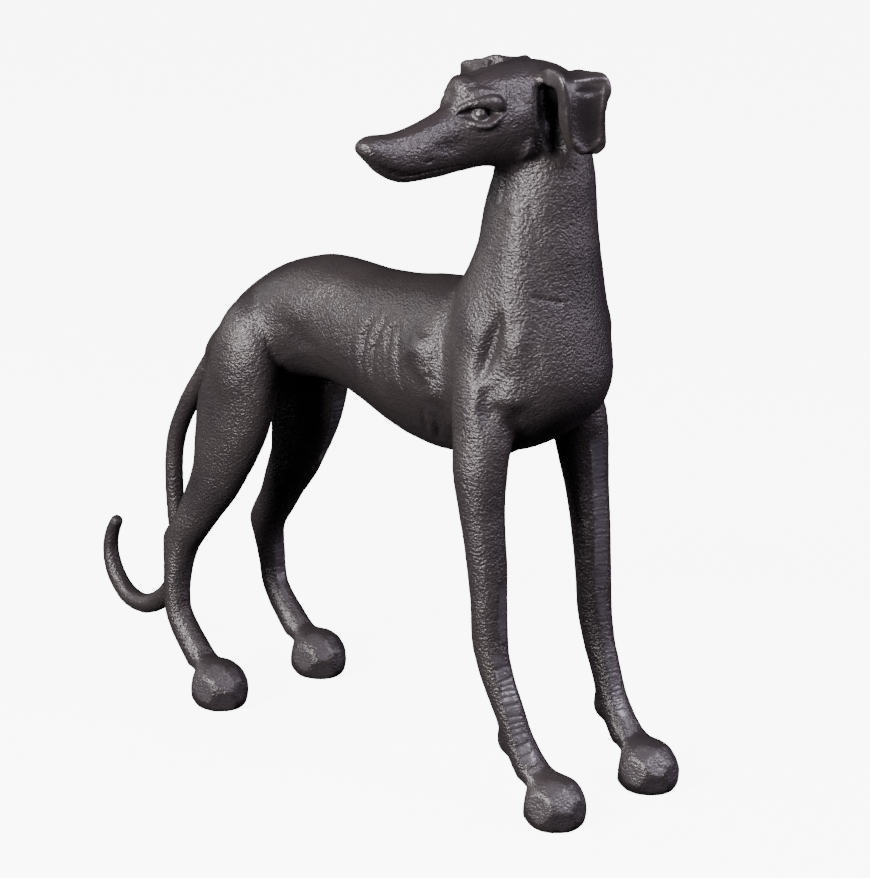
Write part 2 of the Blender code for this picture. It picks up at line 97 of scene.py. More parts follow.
# Each eye is evened out, sunk by a stroke, given a ball and two lids, and softened. A ball has its place on
# the cheek (u, w), how far its middle stands off the cheek, and its radius. A lid's rows have the same, with
# half the lid's height and depth instead of a radius.
EYE_PATCH = ((31.5, 12.0, 24.0), 12.0, 80)  # centre, reach, rounds
SOCKET = (-2.6, 4.6, (40, 7.4, 23.8), (37, 9.6, 23.6), (33, 11.4, 22.8), (29, 12.8, 23), (26, 13.8, 23))
EYEBALL = (32.4, 22.4, -0.6, 3.0)
EYE_SOFTENING = ((31.5, 12.0, 23.5), 9.5, 3)
CHEEK_PATCH = 1.3  # half the width of the patch of cheek that an eye's part is seated by
CHEEK_INSIDE = 3.0  # the cheek lies further out than this
UPPER_LID = (
    (41.4, 24.0, -0.3, 0.5, 0.5),
    (39.4, 25.6, 0.0, 1.3, 1.1),
    (37.0, 26.9, 0.0, 1.5, 1.3),
    (34.4, 27.4, 0.1, 1.7, 1.5),
    (31.6, 27.4, 0.1, 2.2, 1.9),
    (28.8, 26.8, 0.1, 2.9, 2.3),
    (26.8, 25.7, 0.1, 2.9, 2.3),
    (25.4, 23.9, -0.1, 2.1, 1.8),
    (25.4, 22.2, -0.4, 1.0, 1.0),
)
LOWER_LID = (
    (39.6, 22.2, -0.5, 0.5, 0.5),
    (37.2, 20.2, -0.2, 1.0, 1.0),
    (34.8, 18.9, 0.0, 1.3, 1.3),
    (32.0, 18.4, 0.1, 1.4, 1.4),
    (29.0, 19.4, 0.1, 1.2, 1.3),
    (26.2, 21.0, 0.0, 0.9, 1.0),
    (24.8, 22.0, -0.3, 0.6, 0.7),
)

# How finely the bodies added to the head are drawn.
BALL_RINGS = 14
BALL_SIDES = 24
TUBE_STEPS = 6  # from one row to the next
LID_SIDES = 16
RIM_SIDES = 24
RIM_BOXINESS = 0.6  # one is round, and less is squarer

# The thick front edge of an ear, from its root over the fold and down: centre, half width, half depth.
EAR_RIM = (
    (5.4, 14.5, 30.0, 1.0, 1.0),
    (5.6, 19.5, 32.2, 2.2, 1.6),
    (5.6, 23.6, 32.4, 3.0, 1.8),
    (5.6, 26.6, 29.6, 3.3, 1.8),
    (5.9, 27.6, 24.5, 3.4, 1.7),
    (6.6, 27.6, 17.5, 3.3, 1.7),
    (6.2, 27.6, 10.5, 2.6, 1.6),
    (4.4, 28.2, 6.2, 1.4, 1.4),
)
EAR_FORWARD = {1: 0.0, -1: 9.6}  # how far the solid's ears are swung towards the nose at their outer edge
EAR_LIFT = {1: -1.6, -1: 3.0}  # how far the solid's ears are raised between head and fold
EAR_ROOT = (2, 19)  # from where to where, outwards, they are raised
EAR_OUT = 30  # how far out the outer edge of an ear lies

# The hollow before the shoulder is softened once it is carved: centre, reach, rounds.
HOLLOW_SOFTENING = ((66.5, -28.0, 188.5), 14.0, 16)

# Strokes: how far raised (below nought: sunk), how wide to each side, then the path. These are on the body.
STROKE_SWELL = (0.45, 0.55)  # what a stroke has of its full strength at both ends, and what its middle adds
BODY_STROKES = (
    # the crease and the furrows behind the elbow
    (-0.6, 2.0, (28.2, -28.1, 170.4), (31.6, -27.4, 168.4)),
    (-0.6, 2.6, (21.5, -22.5, 153), (18, -18, 146), (14, -13, 141)),
    (-0.6, 2.6, (28.5, -22, 152), (25, -17, 145), (20, -11.5, 139)),
    (0.5, 3.0, (25, -22.6, 154), (21.5, -17.6, 146), (17, -12.4, 140)),
    # fold of the flank over the groin
    (0.4, 3.6, (-68, -17, 158), (-57, -17.3, 164), (-44, -18, 165.5), (-30, -17.8, 161)),
    # the hollow before the shoulder, and the mound beside it
    (-0.8, 3.8, (70, -26.6, 199), (67.8, -27.6, 194), (65.8, -28.4, 188), (64.4, -29.6, 181),
     (63.6, -30.4, 176)),
    (0.6, 5.0, (78.5, -25.4, 197), (77.6, -26.6, 190), (76, -27.6, 184)),
)

# The ribs, the elbow and the folds around them.
RIBS = (
    (-0.8, 2.8, (-11.3, -19.8, 184.3), (-13.1, -21, 178.7), (-13.6, -21.6, 174.1), (-14.3, -22.2, 169.1),
     (-15.9, -21.8, 164)),
    (-0.8, 2.8, (-3, -20.5, 185.4), (-5.1, -21.9, 179.3), (-6.6, -22.8, 173.4), (-7.8, -22.8, 166.9),
     (-8.7, -22.5, 161)),
    (-0.8, 2.8, (2.7, -22.1, 184), (2.5, -23.6, 177.1), (2.7, -25, 171.1), (3.1, -24.9, 163)),
    (-0.55, 2.8, (-20.1, -21.7, 178.7), (-21.6, -22, 170.8), (-21.8, -21.3, 163)),
    (0.45, 2.6, (-7.4, -20.5, 184.8), (-9.2, -21.5, 178), (-10.3, -22.2, 171), (-12, -22.3, 162)),
    (0.45, 2.6, (-0.4, -21.4, 185), (-1.4, -22.8, 178), (-2.3, -23.8, 171), (-3.2, -23.8, 162)),
    (-0.8, 3.6, (7.6, -22.4, 186), (9.5, -25, 177), (10.8, -25.8, 168), (12, -25.6, 162)),
    # the elbow under the skin, and the line behind the shoulder blade
    (1.1, 8.5, (20, -25, 184), (25, -26.5, 177)),
    (-0.7, 3.4, (31.5, -23, 190), (34.5, -25.4, 181.5), (35.2, -26.3, 174)),
    # the fold of the flank over the stifle
    (-0.6, 2.6, (-71.6, -24, 168), (-70, -21.5, 160.5), (-69.8, -17.9, 155.1), (-71, -12, 151.8)),
)

# Marks that only one side has.
SINGLE_STROKES = (
    # seam of the mould over the shoulder
    (0.35, 0.9, (14, 3, 205), (21.8, -3.4, 204.7), (25.5, -10, 202.5), (28.6, -16, 198.6), (29.4, -19, 194)),
    (0.3, 0.9, (43, -25, 203), (40.5, -24.5, 197), (38, -23.6, 191), (36.8, -22.7, 186.6)),
    # wrinkle, dents and pits of the neck, and the lumps of the throat
    (-0.45, 1.8, (79, -21.5, 208.7), (83.5, -16.1, 206.6), (86.6, -11.6, 205.6)),
    (-0.7, 1.4, (86, -12.6, 206.4), (86.6, -11.4, 205.4)),
    (-0.5, 1.3, (90.2, -2, 198), (90.6, -0.6, 197.6)),
    (-0.5, 1.1, (77.2, -15.7, 255.2), (77.3, -15.4, 254.6)),
    (-0.4, 2.4, (75.5, -18.2, 243.8), (76.2, -18.3, 239.2)),
    (0.6, 4.0, (69, -21.3, 243.5), (68.6, -21.5, 239)),
    # flash under the throat
    (0.6, 1.4, (62.4, -19.8, 256), (61, -19.4, 251), (60.8, -19.9, 247.6), (59.6, -20.4, 242)),
    (-0.8, 1.4, (64.4, -19.8, 256), (63, -19.7, 251), (62.8, -20.2, 247.6), (61.6, -20.7, 242)),
)

# Strokes in the head's frame, on the face, the ears and the forehead.
HEAD_STROKES = (
    # brow, and the hollow below the lower lid
    (0.5, 3.0, (38.5, 6.4, 30), (33, 8.6, 31.4), (27.5, 11, 31)),
    (-0.35, 2.6, (38, 10.2, 17.4), (33, 12.8, 15.8), (27, 14.4, 17)),
    # edge between the top and the side of the muzzle
    (0.4, 2.4, (74, 3.6, 21.6), (66, 5, 20.6), (58, 5.6, 21), (50, 6.2, 22.6), (43, 6.4, 24.4)),
    # mouth, the nick above it, and the nostril
    (-0.5, 1.1, (70.5, 4.8, 6.6), (68, 4.7, 5.6), (64, 5.2, 5), (58, 6.1, 4.9), (51.6, 6.4, 4.8),
     (47, 6.2, 4.5), (41, 6.3, 4.2)),
    (-0.5, 1.2, (58.6, 7.8, 8.8), (55.5, 7.9, 9.1), (53.4, 8, 9.8)),
    (-0.7, 1.3, (79.8, 3.4, 18.4), (78.4, 4.6, 18)),
)
EAR_STROKES = (
    # crease at the root of the ear
    (-1.0, 1.3, (9.4, 12.6, 35), (8.2, 14.4, 32.6), (6.8, 15.8, 29.6)),
    # the roll of the fold, the valley under it, and the rim round the cup
    (0.7, 2.8, (0.5, 28.2, 31), (-5.5, 28.8, 31.2), (-10.4, 31.2, 29.5)),
    (-0.6, 2.8, (1.5, 29.4, 27), (-3, 29.6, 26.2), (-7.6, 31, 25.6)),
    (0.6, 2.2, (-9.8, 32, 26.5), (-8, 32, 18.2), (-7.4, 31.4, 12.4), (-6.4, 30.5, 6.5), (-2, 28.5, 3.4),
     (2.6, 28.6, 4.2)),
)
FOREHEAD_STROKES = (
    (-0.25, 0.9, (36.2, 3.4, 35.2), (33.4, 6.4, 35.4), (29, 8, 35)),
    (-0.2, 0.8, (36.8, 4.6, 33.6), (34, 7.4, 33.2), (30.6, 9, 33)),
    (-0.35, 1.6, (28, 4.4, 37), (22.5, 6.4, 37)),
)

# How a filed edge is cut, in millimetres and in shares.
FILE_REACH = 5.0  # how far beside its path an edge is filed
FILE_DRIFT = (0.35, 1.3)  # how unevenly the steps follow each other
FILE_NICK = (0.5, 0.6)  # half the width of the nick between steps, and its depth as a share of their rise
FILE_SHINE = 6  # how fast a deeper cut brightens the metal
FILE_STEPS = 8  # from one place of the path to the next, as it is laid on the surface
FILE_SEARCH = 4  # how far the surface may lie from the path
FILE_ROUNDS = 4  # rounds of smoothing of the path once it is laid

# Filed edges, each on one side alone: the path, the way the file faced, how deep it cut, and the pitch and
# the rise of its steps.
FILED_EDGES = (
    (((75.5, -31.8, 65), (77.6, -31.1, 57.4), (80.4, -31, 50.5), (83.4, -31.8, 43.1), (86.6, -32.2, 33.5),
      (90.3, -31.5, 27.1), (93.5, -30.8, 23.5)), (0.8, -0.5, 0.32), 0.5, 3.1, 0.36),
    (((74, -27, 94), (74.6, -28, 80), (75.5, -30.4, 67)), (0.95, 0.0, 0.1), 0.12, 1.7, 0.12),
    (((72.4, 28.4, 142.7), (72.1, 31.2, 123.1), (74.3, 30.4, 89.8), (76.5, 29.4, 56.1), (82.1, 27.2, 36.5),
      (88.6, 26, 25.5)), (0.9, -0.35, 0.1), 0.3, 1.55, 0.22),
    (((-72.7, 22.4, 137), (-75.4, 23.4, 127.2), (-80.3, 25, 117), (-84.5, 26, 109.6), (-89.5, 27, 102.6)),
     (0.93, -0.25, -0.2), 0.42, 2.4, 0.32),
    (((-121.9, 30.2, 60), (-121.5, 31, 50), (-121.8, 31.4, 38)), (0.95, -0.2, 0.1), 0.25, 2.2, 0.24),
    (((-119.4, -25.5, 66), (-121, -28, 55), (-120.8, -29.3, 42)), (1, 0.1, 0), 0.15, 2.2, 0.14),
)

# Every paw is swelled about its heart, then filed flat.
PAW_HEARTS = ((100.3, 28.2, 7.3), (-98.9, 29.8, 7.3))
PAW_SWELL = 0.8
PAW_REACH = (13.2, 17.5)  # a paw takes its full share up to the first, and none from the second on
PAW_SHINE = (3, 0.5)  # how fast a deeper cut brightens the metal, and the brightest it gets

# The flats of a paw: the way each faces, and how far it lies from the heart.
PAW_FLATS = (
    ((0.72, -0.50, 0.48), 12.0),
    ((0.98, 0.08, 0.12), 12.9),
    ((0.15, -0.98, 0.12), 11.3),
    ((0.35, -0.55, 0.76), 11.5),
    ((0.75, 0.05, 0.66), 12.2),
    ((0.72, -0.62, -0.32), 12.3),
    ((0.66, 0.55, 0.50), 12.0),
    ((0.12, 0.98, 0.15), 11.3),
    ((-0.80, -0.50, 0.10), 10.9),
    ((-0.70, 0.70, 0.10), 12.3),
)

# The grain of the casting: size of the bumps and their height.
WAVES = (9.0, 0.14)
LUMPS = (3.4, 0.06)
GRAINS = (1.8, 0.05)
LUMPS_APART = (7, 3, 1)  # so that the lumps don't follow the waves

# Where the grain is calmer, and by what share: on top, on filed metal and in spots of the head.
CALM_TOP = (0.6, 0.45, 0.4)  # by this share, from this steepness on, growing over this much more
CALM_FILED = 0.8
CALM_HEAD = 0.75
CALM_FADE = 1.6  # above one, a spot keeps its full strength further out
CALM_ABOVE_SOLE = 3.0  # the grain has its full height from here up

# The calm spots of the head, in its frame: middle and reach.
CALM_EAR_SPOTS = (((-2, 29, 20), 25), ((5.5, 27.5, 30), 9), ((-5, 29, 31), 13), ((6, 20, 33), 7))
CALM_FACE_SPOTS = (((27, 13, 26), 5), ((33, 11, 22), 4))

# Painted shade in the recesses: rays tried from each point, how far they reach and how open an unshaded place
# is.
SHADE_RAYS = 40
SHADE_REACH = 50.0
SHADE_RAY_START = 0.6  # a ray starts this far off the surface
SHADE_RAY_SLANT = 0.2  # and no flatter than this along it
OPEN_ENOUGH = 0.7
SHADE_FADE = 1.5  # above one, a spot keeps its full strength further out
SHADE_ROUNDS = 6  # rounds of smoothing

# Places of the head with painted shade of their own, behind the cheeks and in the ears: middle, reach and how
# dark.
PAINTED_SHADE_HEAD_SPOTS = (((-2, 31, 17), 13, 0.5), ((4, 12, 18), 10, 0.95), ((4, 12, 6), 10, 0.95))

# The finish of the iron: its faint patches, the painted shade, the filed metal, and from least to most the
# shine of unshaded places and of places with painted shade, the roughness over the sand, and the bumps of calm
# and of grainy places.
METALLIC = 0.25
REFRACTION = 1.7
PATCHES = (55.0, 5.0)  # to the metre, and how detailed
PATCH_COLOURS = ((0.3, (0.041, 0.034, 0.037, 1)), (0.7, (0.056, 0.046, 0.046, 1)))
# near black, the painted shade of the recesses, behind the cheeks and in the ears
PAINTED_SHADE_COLOUR = (0.004, 0.0035, 0.004, 1)
FILED_COLOUR = (0.10, 0.09, 0.10, 1)
# the shine drops where shade is painted, so reflections there are painted dark as well
SHINE = (0.5, 0.02)
ROUGHNESS = (0.28, 0.42)
BUMPINESS = (0.15, 1.0)
BUMP_HEIGHT = 0.00045

# The finest grain: pebbles and sand to the metre, squeezed upright, and the pebbles' share of the height.
SQUEEZED = (1.0, 1.0, 1.2)
PEBBLES = (820.0, 0.6)  # to the metre, and how smooth
PEBBLES_SHARE = 0.55
SAND = (900.0, 3.0, 0.55)  # to the metre, how detailed and how rough

# The floor, and the white that it and the sky glow in.
WHITE = (1, 1, 1, 1)
FLOOR_SIZE = 12
FLOOR_COLOUR = (0.88, 0.88, 0.88, 1)
FLOOR_ROUGHNESS = 0.9
FLOOR_GLOW = 8.0

# The camera, in metres and degrees.
CAMERA_LENS = 122.6
CAMERA_SENSOR = 36
CAMERA_PLACE = (0.8983, -0.8287, 0.4535)
CAMERA_DOWN = 14.9
CAMERA_TURN = 44.8

# The lamps face the figure's middle. Each has its degrees to the right of the camera and above the floor,
# its watts, its size in metres and its colour. The camera stands CAMERA_AROUND degrees from the y axis.
CAMERA_AROUND = 45.0
FIGURE_MIDDLE = (0.03, 0.0, 0.15)
LAMP_DISTANCE = 1.5
LAMPS = (
    ("key", -46, 25, 47, 0.6, (1.0, 0.96, 0.97)),
    ("right", 48, 44, 19, 0.5, (0.9, 0.85, 1.0)),
    ("edge", 88, 15, 6, 0.5, (0.95, 0.85, 1.0)),
    ("left_behind", -115, 20, 4, 0.7, (1, 1, 1)),
)
SKY_STRENGTH = 0.01


def divided(corners, normals, ways):
    """Points and small triangles of every facet, divided and curved out to meet its corner normals."""
    steps = [(i, j) for i in range(ways + 1) for j in range(ways + 1 - i)]
    place = {step: k for k, step in enumerate(steps)}
    share = np.array([(1 - (i + j) / ways, i / ways, j / ways) for i, j in steps])
    flat = np.einsum("sk,fkc->fsc", share, corners)
    curved = np.zeros_like(flat)
    for k in range(3):
        corner, normal = corners[:, None, k], normals[:, None, k]
        drop = np.sum((flat - corner) * normal, axis=2, keepdims=True)
        curved += share[None, :, k, None] * (flat - drop * normal)
    points = flat + ROUNDNESS * (curved - flat)
    small = []
    for i in range(ways):
        for j in range(ways - i):
            small.append((place[i, j], place[i + 1, j], place[i, j + 1]))
            if i + j < ways - 1:
                small.append((place[i + 1, j], place[i + 1, j + 1], place[i, j + 1]))
    faces = np.array(small)[None] + np.arange(len(corners))[:, None, None] * len(steps)
    return points.reshape(-1, 3), faces.reshape(-1, 3)


def welded(points, faces):
    """The same faces with points that lie in one place made one."""
    keys = np.round(points * WELD_STEPS).astype(np.int64)
    _, first, index = np.unique(keys, axis=0, return_index=True, return_inverse=True)
    return points[first], index.reshape(-1)[faces]


def mesh_arrays(mesh):
    """The points, edges and triangles of a mesh."""
    points = np.empty(len(mesh.vertices) * 3, np.float32)
    mesh.vertices.foreach_get("co", points)
    edges = np.empty(len(mesh.edges) * 2, np.int32)
    mesh.edges.foreach_get("vertices", edges)
    mesh.calc_loop_triangles()
    corners = np.empty(len(mesh.loop_triangles) * 3, np.int32)
    mesh.loop_triangles.foreach_get("vertices", corners)
    return points.reshape(-1, 3).astype(float), edges.reshape(-1, 2), corners.reshape(-1, 3)


def mesh_of(points, faces, name):
    """A mesh of the given points and faces."""
    mesh = bpy.data.meshes.new(name)
    mesh.from_pydata(points.tolist(), [], faces.tolist())
    mesh.update()
    return mesh


def evaluated(mesh, add_modifiers):
    """A copy of the mesh with modifiers applied."""
    carrier = bpy.data.objects.new("carrier", mesh)
    bpy.context.scene.collection.objects.link(carrier)
    add_modifiers(carrier)
    graph = bpy.context.evaluated_depsgraph_get()
    made = bpy.data.meshes.new_from_object(carrier.evaluated_get(graph))
    bpy.data.objects.remove(carrier)
    return made


def neighbour_mean(values, edges):
    """The mean of each point's neighbours."""
    first, second = edges.T
    total = np.zeros_like(values)
    for axis in range(values.shape[1]):
        total[:, axis] = np.bincount(first, values[second, axis], len(values))
        total[:, axis] += np.bincount(second, values[first, axis], len(values))
    return total / np.bincount(edges.ravel(), minlength=len(values))[:, None]


def relaxed(points, edges, rounds):
    """Smooths without shrinking, and moves no point further than a small distance."""
    start = points
    for amount in SMOOTHING * rounds:
        points = points + amount * (neighbour_mean(points, edges) - points)
    moved = points - start
    length = np.linalg.norm(moved, axis=1, keepdims=True)
    return start + moved * np.minimum(1, MOST_MOVED / np.maximum(length, 1e-9))


def normals_of(points, corners):
    """The way the surface faces at each point."""
    first, second, third = (points[corners[:, k]] for k in range(3))
    cross = np.cross(second - first, third - first)
    total = np.zeros_like(points)
    for axis in range(3):
        for corner in range(3):
            total[:, axis] += np.bincount(corners[:, corner], cross[:, axis], len(points))
    return total / np.maximum(np.linalg.norm(total, axis=1, keepdims=True), 1e-9)


def even_normals(points, edges, corners):
    """The way the surface faces, evened out so that a stroke across a fold stays clean."""
    normals = normals_of(points, corners)
    for _ in range(NORMAL_ROUNDS):
        normals = (normals + neighbour_mean(normals, edges)) / 2
    return normals / np.maximum(np.linalg.norm(normals, axis=1, keepdims=True), 1e-9)


def mirrored(places, side):
    """Places as they are given (side 1), or in mirror image (side -1)."""
    return np.array(places, float) * (1, side, 1)


def head_axes():
    """The head's axes, as the columns of a matrix."""
    turn = Matrix.Rotation(math.radians(-HEAD_TURN), 3, "Z")
    nod = Matrix.Rotation(math.radians(HEAD_NOD), 3, "Y")
    return np.array(turn @ nod)


def head_to_body(places):
    """Places in the head's frame, given in the drawing's."""
    return np.array(places, float) @ head_axes().T + np.array(HEAD_SEAT)


def body_to_head(points):
    """Places in the drawing's frame, given in the head's."""
    return (points - np.array(HEAD_SEAT)) @ head_axes()


def ball(centre, radius, rings, sides):
    """Points and faces of a sphere."""
    points, faces = [(0, 0, radius)], []
    for i in range(1, rings):
        tilt = math.pi * i / rings
        for j in range(sides):
            turn = 2 * math.pi * j / sides
            level = radius * math.sin(tilt)
            points.append((level * math.cos(turn), level * math.sin(turn), radius * math.cos(tilt)))
    points.append((0, 0, -radius))
    last = len(points) - 1
    for j in range(sides):
        k = (j + 1) % sides
        faces.append((0, 1 + j, 1 + k))
        faces.append((last, last - sides + k, last - sides + j))
        for i in range(rings - 2):
            a, b = 1 + i * sides + j, 1 + i * sides + k
            faces += [(a, a + sides, b), (b, a + sides, b + sides)]
    return np.array(points) + np.array(centre), np.array(faces)


def smooth_path(rows, count):
    """A smooth curve through the given rows, with so many steps from one to the next."""
    rows = np.array(rows, float)
    ends = np.vstack([2 * rows[0] - rows[1], rows, 2 * rows[-1] - rows[-2]])
    dense = []
    for before, here, there, after in zip(ends, ends[1:], ends[2:], ends[3:]):
        for t in np.arange(count) / count:
            dense.append(
                here * (1 + t * t * (2 * t - 3))
                + there * (t * t * (3 - 2 * t))
                + (there - before) / 2 * (t * (1 - t) ** 2)
                - (after - here) / 2 * (t * t * (1 - t))
            )
    return np.array(dense + [rows[-1]])


def tube(rows, depth_way, sides, boxy=1.0):
    """Points and faces of a closed body along a smooth path. Each row has its half width and half depth."""
    rows = smooth_path(rows, TUBE_STEPS)
    along = np.gradient(rows[:, :3], axis=0)
    along /= np.linalg.norm(along, axis=1, keepdims=True)
    depth = np.array(depth_way, float) - along * (along @ np.array(depth_way, float))[:, None]
    depth /= np.linalg.norm(depth, axis=1, keepdims=True)
    across = np.cross(along, depth)
    turn = np.arange(sides) * 2 * math.pi / sides
    wide = np.sign(np.cos(turn)) * np.abs(np.cos(turn)) ** boxy
    deep = np.sign(np.sin(turn)) * np.abs(np.sin(turn)) ** boxy
    rings = []
    for row, out, in_depth in zip(rows, across, depth):
        rings.append(row[:3] + np.outer(wide * row[3], out) + np.outer(deep * row[4], in_depth))
    points = np.vstack(rings + [rows[:1, :3], rows[-1:, :3]])
    last = len(rows) - 1
    faces = []
    for j in range(sides):
        k = (j + 1) % sides
        faces.append((len(points) - 2, k, j))
        faces.append((len(points) - 1, last * sides + j, last * sides + k))
        for i in range(last):
            a, b = i * sides + j, i * sides + k
            faces += [(a, b, a + sides), (b, b + sides, a + sides)]
    return points, np.array(faces)


def swung(places, side):
    """Places on the left ear, moved to where the solid has them on either ear."""
    places = np.array(places, float)
    places[..., 0] += EAR_FORWARD[side] * np.clip(places[..., 1] / EAR_OUT, 0, 1)
    over_root = np.clip((places[..., 1] - EAR_ROOT[0]) / (EAR_ROOT[1] - EAR_ROOT[0]), 0, 1)
    places[..., 2] += (EAR_LIFT[side] - EAR_LIFT[1]) * np.sin(math.pi * over_root)
    places[..., 1] *= side
    return head_to_body(places)


def cheek_at(places, side, u, w):
    """How far out the cheek is at a place beside the head."""
    beside = np.maximum(np.abs(places[:, 0] - u), np.abs(places[:, 2] - w)) < CHEEK_PATCH
    near = beside & (places[:, 1] * side > CHEEK_INSIDE)
    return places[near, 1].mean() * side


def seated(places, side, rows):
    """Rows of a lid with its middle put on the cheek."""
    return [(u, side * (cheek_at(places, side, u, w) + lift), w, half_height, half_depth)
            for u, w, lift, half_height, half_depth in rows]


def head_bodies(skin):
    """Eyeballs, lids and ear rims of both sides, in the drawing's frame."""
    places = body_to_head(skin)
    pieces = []
    u, w, lift, radius = EYEBALL
    for side in SIDES:
        centre = (u, side * (cheek_at(places, side, u, w) + lift), w)
        points, faces = ball(centre, radius, BALL_RINGS, BALL_SIDES)
        pieces.append((head_to_body(points), faces))
        for lid in (UPPER_LID, LOWER_LID):
            points, faces = tube(seated(places, side, lid), (0, 1, 0), LID_SIDES)
            pieces.append((head_to_body(points), faces))
        points, faces = tube(EAR_RIM, (1, 0, 0), RIM_SIDES, RIM_BOXINESS)
        pieces.append((swung(points, side), faces))
    return pieces


def joined(pieces):
    """Several bodies as one mesh."""
    shift, all_points, all_faces = 0, [], []
    for points, faces in pieces:
        all_points.append(points)
        all_faces.append(faces + shift)
        shift += len(points)
    return mesh_of(np.vstack(all_points), np.vstack(all_faces), "bodies")


def skin_over(mesh, step):
    """One even skin over overlapping bodies, as a mesh."""
    def add(carrier):
        remesh = carrier.modifiers.new("skin", "REMESH")
        remesh.mode = "VOXEL"
        remesh.voxel_size = step
    return evaluated(mesh, add)


def even_out(points, edges, centre, reach, rounds):
    """Plain smoothing around a place, fading out towards its reach."""
    share = np.clip(1 - (np.linalg.norm(points - centre, axis=1) / reach) ** 2, 0, 1)[:, None] ** 0.5
    for _ in range(rounds):
        points = points + EVENING * share * (neighbour_mean(points, edges) - points)
    return points


def evened_on_body(points, edges, spot):
    """A place of the body, and its mirror image, smoothed."""
    centre, reach, rounds = spot
    for side in SIDES:
        points = even_out(points, edges, mirrored(centre, side), reach, rounds)
    return points


def evened_on_head(points, edges, spot):
    """A place given in the head's frame, and its mirror image, smoothed."""
    centre, reach, rounds = spot
    for side in SIDES:
        points = even_out(points, edges, head_to_body(mirrored(centre, side)), reach, rounds)
    return points


def even_solid(node, unit):
    """The solid's surface in the drawing's frame, rounded and evened out, with the eyes sunk."""
    points, _, corners = mesh_arrays(node.data)
    points, corners = welded(points / unit - np.array(DRAWN_ORIGIN), corners)
    normals = normals_of(points, corners)
    points, corners = welded(*divided(points[corners], normals[corners], ROUNDING))
    skin = skin_over(mesh_of(points, corners, "rounded"), FIRST_STEP)
    points, edges, corners = mesh_arrays(skin)
    points = relaxed(points, edges, FIRST_ROUNDS)
    points = evened_on_head(points, edges, EYE_PATCH)
    for spot in EVENED:
        points = evened_on_body(points, edges, spot)
    normals = even_normals(points, edges, corners)
    raised, width, *path = SOCKET
    for side in SIDES:
        stroke(points, normals, raised, width, *head_to_body(mirrored(path, side)))
    return points, corners


def traced(points, path):
    """Each point's distance from a path, the nearest place on it and how far along, and the path's length."""
    nearest, along = np.full(len(points), np.inf), np.zeros(len(points))
    place = np.zeros_like(points)
    passed = 0.0
    for start, end in zip(path, path[1:]):
        run = end - start
        length = np.linalg.norm(run)
        share = np.clip((points - start) @ run / (run @ run), 0, 1)
        here = start + share[:, None] * run
        distance = np.linalg.norm(points - here, axis=1)
        closer = distance < nearest
        nearest[closer] = distance[closer]
        along[closer] = (passed + share * length)[closer]
        place[closer] = here[closer]
        passed += length
    return nearest, place, along, passed


def close_to(points, path, width):
    """Which points lie in the box around a path."""
    return np.flatnonzero(((points > path.min(0) - width) & (points < path.max(0) + width)).all(axis=1))


def stroke(points, normals, raised, width, *path):
    """Raises or sinks the surface along a path, fading out to each side and slighter at both ends."""
    path = np.array(path, float)
    near = close_to(points, path, width)
    distance, _, along, length = traced(points[near], path)
    swell = STROKE_SWELL[0] + STROKE_SWELL[1] * np.sin(math.pi * along / length)
    fade = swell * np.clip(1 - (distance / (width * swell)) ** 2, 0, 1) ** 2
    points[near] += normals[near] * (raised * fade)[:, None]


def laid_on(points, path):
    """The path smoothed, and laid on the surface."""
    path = smooth_path(path, FILE_STEPS)
    near = points[close_to(points, path, FILE_SEARCH)]
    path = np.array([near[np.argmin(((near - place) ** 2).sum(axis=1))] for place in path])
    for _ in range(FILE_ROUNDS):
        path[1:-1] = (path[:-2] + 2 * path[1:-1] + path[2:]) / 4
    return path


def file_edge(points, path, facing, deep, pitch, rise):
    """Files an edge flat in a row of small tilted steps. Returns how strongly each point is filed."""
    path = laid_on(points, path)
    facing = np.array(facing, float) / np.linalg.norm(facing)
    near = close_to(points, path, FILE_REACH)
    distance, place, along, length = traced(points[near], path)
    drift, beat = FILE_DRIFT
    turn = along / pitch + drift * np.sin(beat * along / pitch)
    share = turn % 1
    ends = np.clip(np.minimum(along, length - along) / (2 * pitch), 0, 1)
    nick_width, nick_depth = FILE_NICK
    nick = np.clip(1 - np.minimum(share, 1 - share) * pitch / nick_width, 0, 1)
    level = rise * (share - 0.5) - deep - nick_depth * rise * nick
    beyond = ((points[near] - place) @ facing - level) * ends
    beyond[(beyond < 0) | (distance > FILE_REACH)] = 0
    points[near] -= np.outer(beyond, facing)
    filed = np.zeros(len(points))
    filed[near] = np.clip(beyond * FILE_SHINE, 0, 1)
    return filed


def file_paw(points, heart):
    """Swells a paw and files its flats. Returns which points it reached, and how strongly each is filed."""
    inner, outer = PAW_REACH
    away = points - heart
    distance = np.linalg.norm(away, axis=1)
    near = np.flatnonzero(distance < outer)
    share = np.clip((outer - distance[near]) / (outer - inner), 0, 1)[:, None]
    points[near] += PAW_SWELL * share * away[near] / distance[near, None]
    strength = np.zeros(len(near))
    quickly, brightest = PAW_SHINE
    for facing, level in PAW_FLATS:
        facing = np.array(facing) / np.linalg.norm(facing)
        beyond = np.maximum((points[near] - heart) @ facing - level, 0)
        points[near] -= share * np.outer(beyond, facing)
        strength = np.maximum(strength, share[:, 0] * np.clip(beyond * quickly, 0, brightest))
    return near, strength


def file_paws(points):
    """Swells and files the four paws. Returns how strongly each point is filed."""
    filed = np.zeros(len(points))
    for heart in PAW_HEARTS:
        for side in SIDES:
            near, strength = file_paw(points, mirrored(heart, side))
            filed[near] = np.maximum(filed[near], strength)
    return filed


